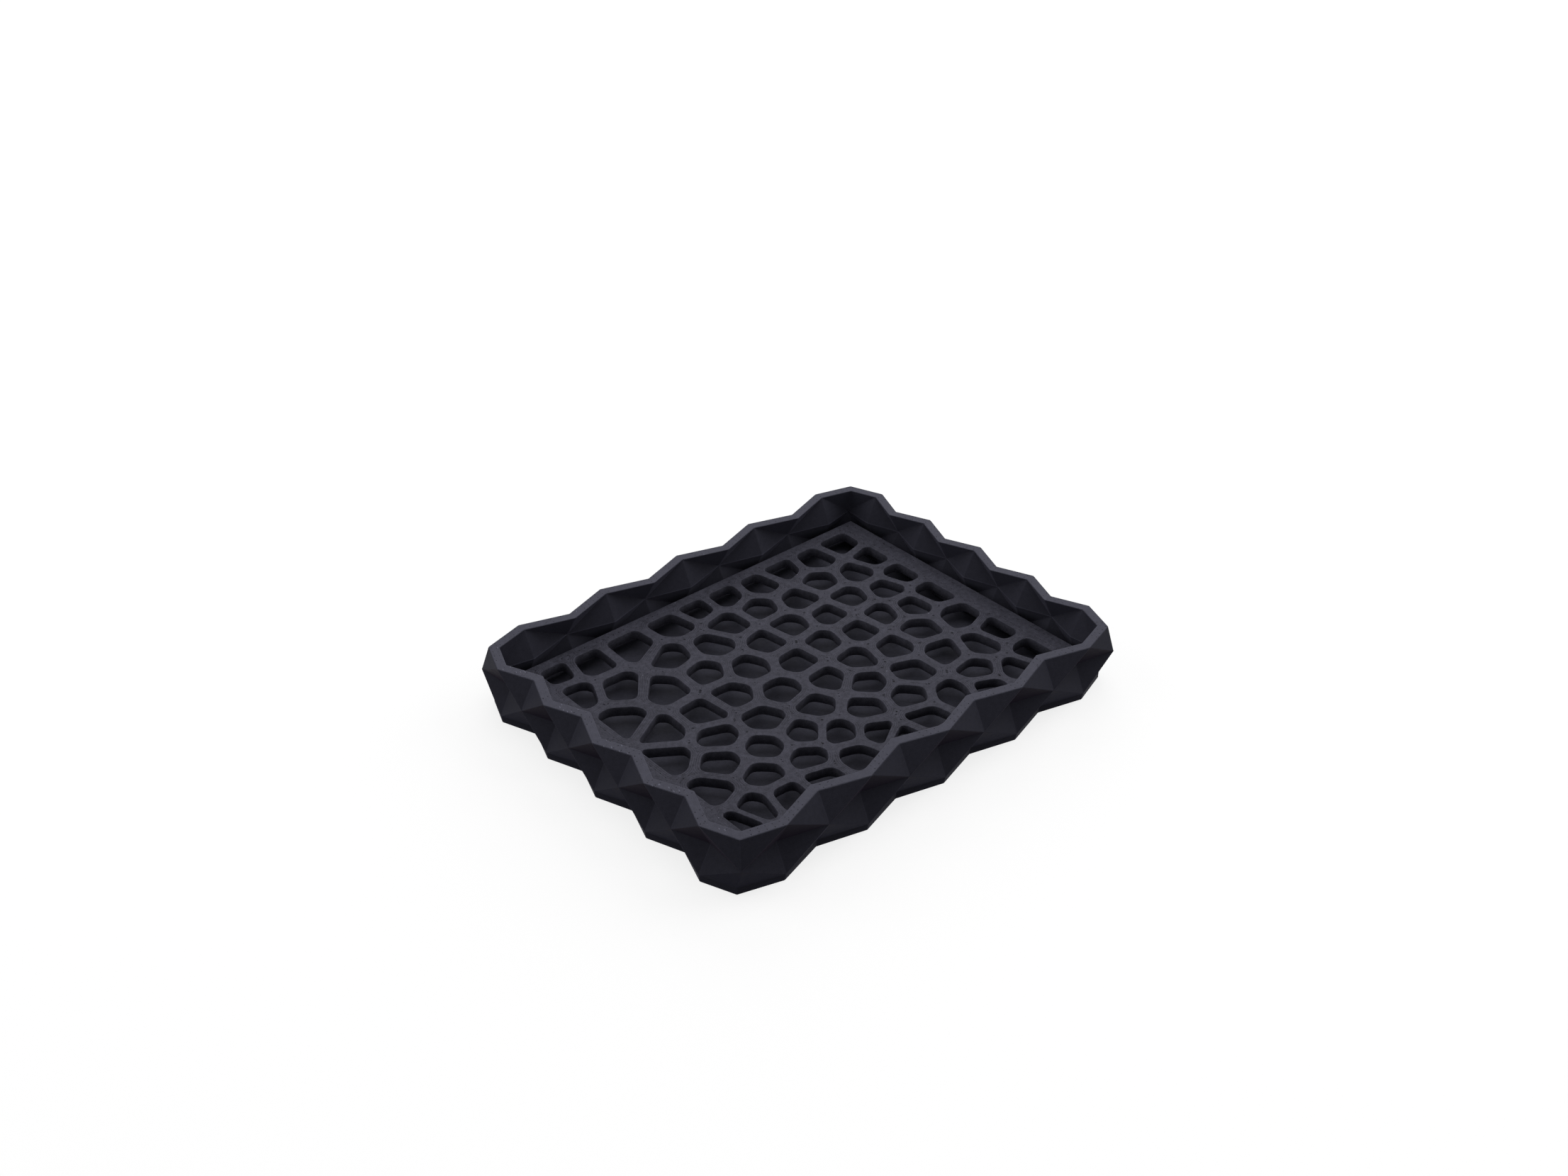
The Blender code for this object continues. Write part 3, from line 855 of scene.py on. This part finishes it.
def slanted_lines(tree, place, line_width, angle):
    """Straight lines laid side by side at an angle, as on a printed floor.

    The place is turned about Z, and its Y over the line width counts the lines.
    """
    drift, jump = 45.0, 1.37
    turned = tree.node("VectorRotate", {"Vector": place, "Angle": angle}, rotation_type="Z_AXIS")
    x, y, _ = tree.split(turned.outputs[0])
    count = tree.math("DIVIDE", y, line_width)
    where = tree.times(x, drift), tree.times(tree.math("FLOOR", count), jump), 0.0
    return printed_lines(tree, count, where, roundness=0.4)


def sandy_grain(tree, place, grain_size):
    """The fine sandy skin of matt filament: two sizes of noise, as a height and a tone."""
    broad_scale, broad_height, broad_tone = 0.22, 0.6, 0.7
    scale = tree.math("DIVIDE", 1.0, grain_size)
    fine = tree.noise(place, scale, detail=3.0, roughness=0.65)
    broad = tree.noise(place, tree.times(scale, broad_scale))
    return {"Height": tree.total(fine, (broad, broad_height)),
            "Tone": tree.total(tree.about_zero(fine), (tree.about_zero(broad), broad_tone))}


def scattered_marks(tree, place, spacing, radius, share):
    """Small round marks here and there on a level surface: pits, specks or glints.

    The plan is split into cells of the given spacing, and a share of them holds a mark of the
    given radius at its middle point.
    """
    steepness, softness = 2.0, 0.2
    scale = tree.math("DIVIDE", 1.0, spacing)
    cells = tree.node(
        "TexVoronoi", {"Vector": place, "Scale": scale}, voronoi_dimensions="2D").outputs
    near = tree.near(tree.times(cells["Distance"], spacing), radius)
    red = tree.node("SeparateColor", {0: cells["Color"]}).outputs[0]
    soft = tree.math("SMOOTH_MIN", tree.times(near, steepness), 1.0, softness)
    return {"Mask": tree.math("MULTIPLY", soft, tree.math("LESS_THAN", red, share), clamp=True)}


def dotted_row(tree, along, across, row, pitch, radius):
    """A row of small dots along a line that keeps one distance from an edge.

    Across is the distance from the edge and Along the way along it. A dot stands every Pitch,
    wherever a slow noise along the row lets one show.
    """
    steepness, slowness = 2.0, 0.21
    count = tree.math("DIVIDE", along, pitch)
    shift = tree.about_zero(tree.math("FRACT", count))
    distance = tree.length(tree.times(shift, pitch), tree.math("SUBTRACT", across, row))
    near = tree.near(distance, radius)
    slow = tree.node("TexNoise", {
        "W": tree.times(tree.math("FLOOR", count), slowness), "Scale": 1.0,
        "Detail": 0.0}, noise_dimensions="1D")
    shown = tree.math("GREATER_THAN", slow.outputs["Fac"], 0.5)
    return {"Mask": tree.times(tree.math("MULTIPLY", near, steepness, clamp=True), shown)}


EFFECTS = (
    (layer_lines, {"Place": ORIGIN, "Layer Height": 0.00024}),
    (slanted_lines, {"Place": ORIGIN, "Line Width": 0.00045, "Angle": 0.785}),
    (sandy_grain, {"Place": ORIGIN, "Grain Size": 0.0003}),
    (scattered_marks, {"Place": ORIGIN, "Spacing": 0.002, "Radius": 0.0002, "Share": 0.3}),
    (dotted_row, {"Along": 0.0, "Across": 0.0, "Row": 0.0013, "Pitch": 0.0012, "Radius": 0.0001}),
)


def shared_groups():
    """Build each effect's shader node group, once."""
    for effect, inputs in EFFECTS:
        if effect.__name__ in bpy.data.node_groups:
            continue
        group = bpy.data.node_groups.new(effect.__name__, "ShaderNodeTree")
        for label, default in inputs.items():
            kind = "NodeSocketVector" if isinstance(default, tuple) else "NodeSocketFloat"
            socket = group.interface.new_socket(label, in_out="INPUT", socket_type=kind)
            socket.default_value = default
        entry = group.nodes.new("NodeGroupInput").outputs
        results = effect(Tree(group), *(entry[label] for label in inputs))
        for label in results:
            group.interface.new_socket(label, in_out="OUTPUT", socket_type="NodeSocketFloat")
        leave = group.nodes.new("NodeGroupOutput").inputs
        for label, socket in results.items():
            group.links.new(socket, leave[label])


# Plastics

class Plastic(Tree):
    """The matt filament of one piece, with what both materials have in common.

    That is the place on the piece, the path along and across its beads, its layers, its slanted
    lines, its grain and a slow cloud of tone.
    """

    def __init__(self, name, colour, laying, roughness, slant, grain_size, cloud_scale):
        self.material = bpy.data.materials.new(name)
        self.material.use_nodes = True
        self.material.diffuse_color = (*colour, 1.0)
        super().__init__(self.material.node_tree)
        self.roughness = roughness
        self.shader = self.tree.nodes["Principled BSDF"].inputs
        self.shader["Roughness"].default_value = roughness
        self.shader["Metallic"].default_value = 0.0
        self.shader["Specular IOR Level"].default_value = 0.02
        self.place = self.node("TexCoord").outputs["Object"]
        self.path = self.split(self.node("UVMap", uv_map="path").outputs[0])
        self.zone = self.attribute("zone")
        self.layers = self.group(
            "layer_lines", place=self.place, layer_height=laying.layer_height)
        self.lines = self.group(
            "slanted_lines", place=self.place, line_width=laying.bead_width,
            angle=math.radians(slant))
        self.grain = self.group("sandy_grain", place=self.place, grain_size=grain_size)
        self.cloud = self.about_zero(self.noise(self.place, cloud_scale))

    def attribute(self, name):
        return self.node("Attribute", attribute_name=name).outputs["Fac"]

    def on(self, *zones):
        """1 on the faces of the given zones, 0 elsewhere."""
        slack = 0.1
        return self.fold("ADD", *(
            self.math("COMPARE", self.zone, float(zone), slack) for zone in zones))

    def marks(self, place, **sizes):
        return self.group("scattered_marks", place=place, **sizes)["Mask"]

    def dots(self, **sizes):
        along, across, _ = self.path
        return self.group("dotted_row", along=along, across=across, **sizes)["Mask"]

    def finish(self, colour, tone, rough, bumps):
        """Join the tinted colour, the roughness and the bumps, one over another, to the shader.

        Tone and rough are terms that add to 1 and to the plain roughness. A bump is a height
        and its depth in metres.
        """
        tint = self.node(
            "VectorMath", {0: colour, "Scale": self.total(1.0, *tone)}, operation="SCALE")
        self.link(tint.outputs[0], self.shader["Base Color"])
        self.link(self.total(self.roughness, *rough), self.shader["Roughness"])
        normal = {}
        for height, depth in bumps:
            item = self.node("Bump", {
                "Height": height, "Distance": depth, "Strength": 1.0, **normal})
            normal = {"Normal": item.outputs["Normal"]}
        self.link(normal["Normal"], self.shader["Normal"])
        return self.material


def tray_plastic(tray, laying):
    """Matt charcoal filament of the tray: layered walls, smooth rim, streaked floor."""
    tree = Plastic("tray_filament", tray.colour, laying, roughness=0.56, slant=45.0,
                   grain_size=0.00022, cloud_scale=55.0)
    x, y, z = tree.split(tree.place)
    on_wall, on_inside = tree.on(OUTER_WALL, INNER_WALL), tree.on(INNER_WALL)
    on_rim, on_floor = tree.on(RIM), tree.on(FLOOR, UNDERSIDE)

    pits = tree.marks(tree.place, spacing=0.0019, radius=0.00011, share=0.30)
    outer_dots = tree.dots(row=laying.bead_width * 1.1, pitch=0.00175, radius=0.00016)
    inner_dots = tree.dots(row=laying.bead_width * 3.5, pitch=0.00175, radius=0.00014)
    dark = tree.times(on_rim, tree.fold("MAXIMUM", pits, outer_dots, inner_dots))
    # Painted glints: short slanted bright strokes with lower roughness on the rim, thick in each
    # patch along the left rim and rare elsewhere.
    stroke_turn, stroke_length = math.radians(68.0), 4.0
    strokes = tree.node("Mapping", {
        "Vector": tree.place, "Rotation": (0.0, 0.0, stroke_turn),
        "Scale": (stroke_length, 1.0, 1.0)}, vector_type="TEXTURE").outputs[0]
    half_pitch = tray.pitch_short / 2
    from_glint_patch = tree.length(
        tree.math("WRAP", tree.math("SUBTRACT", y, GLINT_PATCH_Y), half_pitch, -half_pitch),
        tree.math("SUBTRACT", x, GLINT_PATCH_X))
    glints = tree.marks(strokes, spacing=0.0007, radius=0.00009, share=tree.ramp(
        from_glint_patch, low=0.0022, high=0.0040, to_low=0.75, to_high=0.01))
    painted_glint_mask = tree.times(on_rim, glints)

    # Painted shade: facets that lean out take the overhang shade colour, and below about the waist
    # the bluer foot shade colour.
    leans = tree.ramp(tree.attribute("overhang"), low=0.0, high=0.45)
    leans_outside = tree.math("SUBTRACT", leans, on_inside, clamp=True)
    # Painted highlight: the crests of the walls are lighter, much more outside than inside.
    ridge_highlight = tree.ramp(on_inside, low=0.0, high=1.0, to_low=0.35, to_high=0.08)
    overhang_shade_colour = tree.mixed(
        tree.ramp(z, low=0.0060, high=0.0085), tray.foot_shade_colour, tray.overhang_shade_colour)
    shaded_wall_colour = tree.mixed(leans_outside, tray.shaded_wall_colour, overhang_shade_colour)
    return tree.finish(
        # Walls take the darker wall colour, a painted shade; the rim and floor take the lighter rim
        # colour.
        tree.mixed(on_wall, tray.colour, shaded_wall_colour),
        tone=(
            (tree.layers["Tone"], on_wall, 0.10), (tree.lines["Tone"], on_floor, 0.12),
            (tree.grain["Tone"], 0.55), (tree.cloud, 0.20),
            # The ridge term is a painted highlight on the crests, and the glint term the painted
            # glints on the rim.
            (tree.attribute("ridge"), ridge_highlight), (dark, -0.75), (painted_glint_mask, 1.2),
            # Painted shade and light: the floor and underside are darker as painted shade under the
            # grid, and the inner walls lighter as painted light, their facets that lean in lighter
            # still.
            (on_floor, -0.12), (on_inside, 0.20), (on_inside, leans, 1.3)),
        rough=((tree.grain["Tone"], 0.18), (tree.layers["Tone"], on_wall, 0.12), (painted_glint_mask, -0.25)),
        bumps=(
            (tree.times(tree.lines["Height"], on_floor), 0.000006),
            (tree.grain["Height"], 0.000012), (dark, -0.00006)))


def grid_plastic(grid, laying):
    """Matt charcoal filament of the drain grid: fine beads round each cell, sandy filling."""
    tree = Plastic("grid_filament", grid.colour, laying, roughness=0.60, slant=-45.0,
                   grain_size=0.00024, cloud_scale=70.0)
    on_top, on_wall = tree.on(FLAT_TOP), tree.on(INNER_WALL, OUTER_WALL)
    on_underside = tree.on(UNDERSIDE)

    count = tree.math("DIVIDE", tree.path["Y"], laying.bead_width)
    sharpness = 10.0
    beaded = tree.ramp(count, low=EDGE_BEADS, high=EDGE_BEADS + 0.3, to_low=1.0, to_high=0.0)
    wave = tree.math("ABSOLUTE", tree.math("COSINE", tree.times(count, math.pi)))
    groove = tree.times(tree.math("POWER", wave, sharpness),
                        tree.ramp(count, low=0.5, high=0.8), beaded, on_top)
    patchy = tree.ramp(tree.noise(tree.place, scale=110.0, detail=1.0),
                       low=0.42, high=0.60, to_low=0.1, to_high=1.5)
    filling = tree.times(on_top, tree.math("SUBTRACT", 1.0, beaded))
    pits = tree.marks(tree.place, spacing=0.0018, radius=0.00013, share=0.22)
    dots = tree.dots(row=laying.bead_width * (EDGE_BEADS + 0.2), pitch=0.0011, radius=0.00013)
    # Painted glints: a few small bright specks on the top, with lower roughness.
    specks = tree.marks(tree.place, spacing=0.0060, radius=0.00014, share=0.10)
    shut = 0.52    # noise under which a joint has no hole
    holes = tree.times(
        tree.ramp(tree.attribute("joint"), low=0.00018, high=0.00034, to_low=1.0, to_high=0.0),
        tree.math("GREATER_THAN", tree.noise(tree.place, scale=75.0, detail=0.0), shut))
    dark = tree.times(on_top, tree.fold("MAXIMUM", tree.times(pits, filling), dots, holes))
    painted_glint_mask = tree.times(on_top, specks)
    return tree.finish(
        grid.colour,
        tone=(
            (tree.grain["Tone"], 1.35), (tree.cloud, 0.25), (groove, patchy, -0.30),
            (tree.lines["Tone"], on_underside, 0.4), (tree.layers["Tone"], on_wall, 0.07),
            # The walls of the openings, the plate's edge and the feet are a little darker: painted
            # shade. The glint term adds the painted glints.
            (on_wall, -0.04), (dark, -0.70), (painted_glint_mask, 2.2)),
        rough=((tree.grain["Tone"], 0.2), (painted_glint_mask, -0.2)),
        bumps=(
            (tree.times(tree.lines["Height"], on_underside), 0.00003),
            (tree.times(tree.layers["Height"], on_wall), 0.000006),
            (tree.grain["Height"], 0.000018), (dark, -0.00006)))


def floor_paper(stage):
    """Pale floor: plain white where the camera sees it, darker only where the dish shades it."""
    material = bpy.data.materials.new("floor_paper")
    material.use_nodes = True
    tree = Tree(material.node_tree)
    shader = material.node_tree.nodes["Principled BSDF"]
    shader.inputs["Roughness"].default_value = 0.9
    shader.inputs["Specular IOR Level"].default_value = 0.0
    plain, whiteness = tree.plain_view(), 0.80
    lit = tree.mixed(plain, stage.floor_bounce, stage.floor_colour)
    tree.link(lit, shader.inputs["Base Color"])
    white = tree.node("Emission", {"Color": WHITE, "Strength": 1.0})
    seen = tree.node("MixShader", {
        0: tree.times(plain, whiteness), 1: shader.outputs[0], 2: white.outputs[0]})
    tree.link(seen.outputs[0], material.node_tree.nodes["Material Output"].inputs["Surface"])
    return material


# Operators

def add_piece(name, mesh, material):
    """An object at the origin with one material."""
    mesh.materials.append(material)
    piece = bpy.data.objects.new(name, mesh)
    bpy.context.scene.collection.objects.link(piece)
    return piece


class DISH_OT_tray_shell(bpy.types.Operator):
    """Build the faceted drip tray with its layers, beaded rim and slanted floor lines"""

    bl_idname = "dish.tray_shell"
    bl_label = "Tray"

    def execute(self, context):
        tray, laying = context.scene.dish_tray, context.scene.dish_print
        shared_groups()
        mesh = mesh_from_sheets("tray_shell", [tray_sheet(tray, laying)])
        piece = add_piece("tray_shell", mesh, tray_plastic(tray, laying))
        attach(piece, "dish")
        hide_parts("tray")
        return {"FINISHED"}


class DISH_OT_grid_plate(bpy.types.Operator):
    """Build the drain grid: the pierced plate with its beads round every cell, and its feet"""

    bl_idname = "dish.grid_plate"
    bl_label = "Drain grid"

    def execute(self, context):
        grid, laying = context.scene.dish_grid, context.scene.dish_print
        shared_groups()
        mesh = mesh_from_sheets("grid_plate", grid_sheets(grid, laying))
        piece = add_piece("grid_plate", mesh, grid_plastic(grid, laying))
        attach(piece, "grid")
        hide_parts("drain_grid")
        return {"FINISHED"}


class DISH_OT_stage(bpy.types.Operator):
    """Set up the pale floor, the soft light and the camera"""

    bl_idname = "dish.stage"
    bl_label = "Stage"

    def execute(self, context):
        stage = context.scene.dish_stage
        add_floor(stage)
        add_sky(context.scene, stage)
        add_lamps(context.scene, stage)
        add_camera(context.scene, stage)
        context.scene.view_settings.view_transform = "Standard"
        return {"FINISHED"}


def add_floor(stage):
    """A flat square on which the dish stands."""
    reach, drop = 4.0, 0.00002
    ends = np.array([-reach, reach])
    x, y = np.meshgrid(ends, ends)
    rows = np.stack([x, y, np.full_like(x, -drop)], axis=2)
    mesh = mesh_from_sheets("floor", [Sheet(rows, rows[..., :2], FLOOR)])
    add_piece("floor", mesh, floor_paper(stage))


def add_sky(scene, stage):
    """Even light from all round, which the camera sees as plain white."""
    world = bpy.data.worlds.new("sky")
    world.use_nodes = True
    scene.world = world
    tree = Tree(world.node_tree)
    background = world.node_tree.nodes["Background"].inputs
    background["Color"].default_value = WHITE
    tree.link(tree.ramp(tree.plain_view(), 0.0, 1.0, stage.sky_level, 1.0), background["Strength"])


def add_lamps(scene, stage):
    """Four large soft lamps: one behind, one overhead and one on each side, aimed at the dish."""
    size = 0.9
    lamps = (
        ("back_lamp", stage.back_light, (0.75, 0.85, 0.60)),
        ("top_lamp", stage.top_light, (0.15, 0.12, 1.15)),
        ("left_lamp", stage.left_light, (-0.75, 0.72, 0.62)),
        ("right_lamp", stage.right_light, (0.95, -0.25, 0.65)),
    )
    for name, power, place in lamps:
        light = bpy.data.lights.new(name, "AREA")
        light.energy = power
        light.shape = "SQUARE"
        light.size = size
        lamp = bpy.data.objects.new(name, light)
        lamp.location = place
        lamp.rotation_euler = (-Vector(place)).to_track_quat("-Z", "Y").to_euler()
        scene.collection.objects.link(lamp)


def add_camera(scene, stage):
    """Camera at the photograph's place, aim, roll and field of view."""
    data = bpy.data.cameras.new("photo_camera")
    data.sensor_fit = "HORIZONTAL"
    data.sensor_width = 36.0
    data.lens = stage.lens
    data.clip_start = 0.01
    camera = bpy.data.objects.new("photo_camera", data)
    place, aim = Vector(stage.camera_place), Vector(stage.camera_aim)
    turn = (aim - place).to_track_quat("-Z", "Y").to_matrix()
    camera.location = place
    camera.rotation_euler = (turn @ Matrix.Rotation(stage.camera_roll, 3, "Z")).to_euler()
    scene.collection.objects.link(camera)
    scene.camera = camera


class DISH_PT_panel(bpy.types.Panel):
    """Sidebar panel with the dish's sizes and the steps that build it"""

    bl_idname = "DISH_PT_panel"
    bl_label = "Soap Dish"
    bl_space_type = "VIEW_3D"
    bl_region_type = "UI"
    bl_category = "Soap Dish"

    def draw(self, context):
        scene = context.scene
        groups = (
            (DISH_OT_tray_shell, scene.dish_tray),
            (DISH_OT_grid_plate, scene.dish_grid),
            (DISH_OT_stage, scene.dish_stage),
            (None, scene.dish_print),
        )
        for operator, settings in groups:
            box = self.layout.box()
            for name in settings.__annotations__:
                box.prop(settings, name)
            if operator:
                box.operator(operator.bl_idname)


CLASSES = (
    PrintSettings, TraySettings, GridSettings, StageSettings,
    DISH_OT_tray_shell, DISH_OT_grid_plate, DISH_OT_stage, DISH_PT_panel,
)
SETTINGS = {
    "dish_print": PrintSettings,
    "dish_tray": TraySettings,
    "dish_grid": GridSettings,
    "dish_stage": StageSettings,
}


def register():
    for item in CLASSES:
        bpy.utils.register_class(item)
    for name, group in SETTINGS.items():
        setattr(bpy.types.Scene, name, bpy.props.PointerProperty(type=group))


def unregister():
    for name in SETTINGS:
        delattr(bpy.types.Scene, name)
    for item in reversed(CLASSES):
        bpy.utils.unregister_class(item)


def main():
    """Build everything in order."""
    register()
    bpy.ops.dish.tray_shell()
    bpy.ops.dish.grid_plate()
    bpy.ops.dish.stage()


if __name__ == "__main__":
    main()
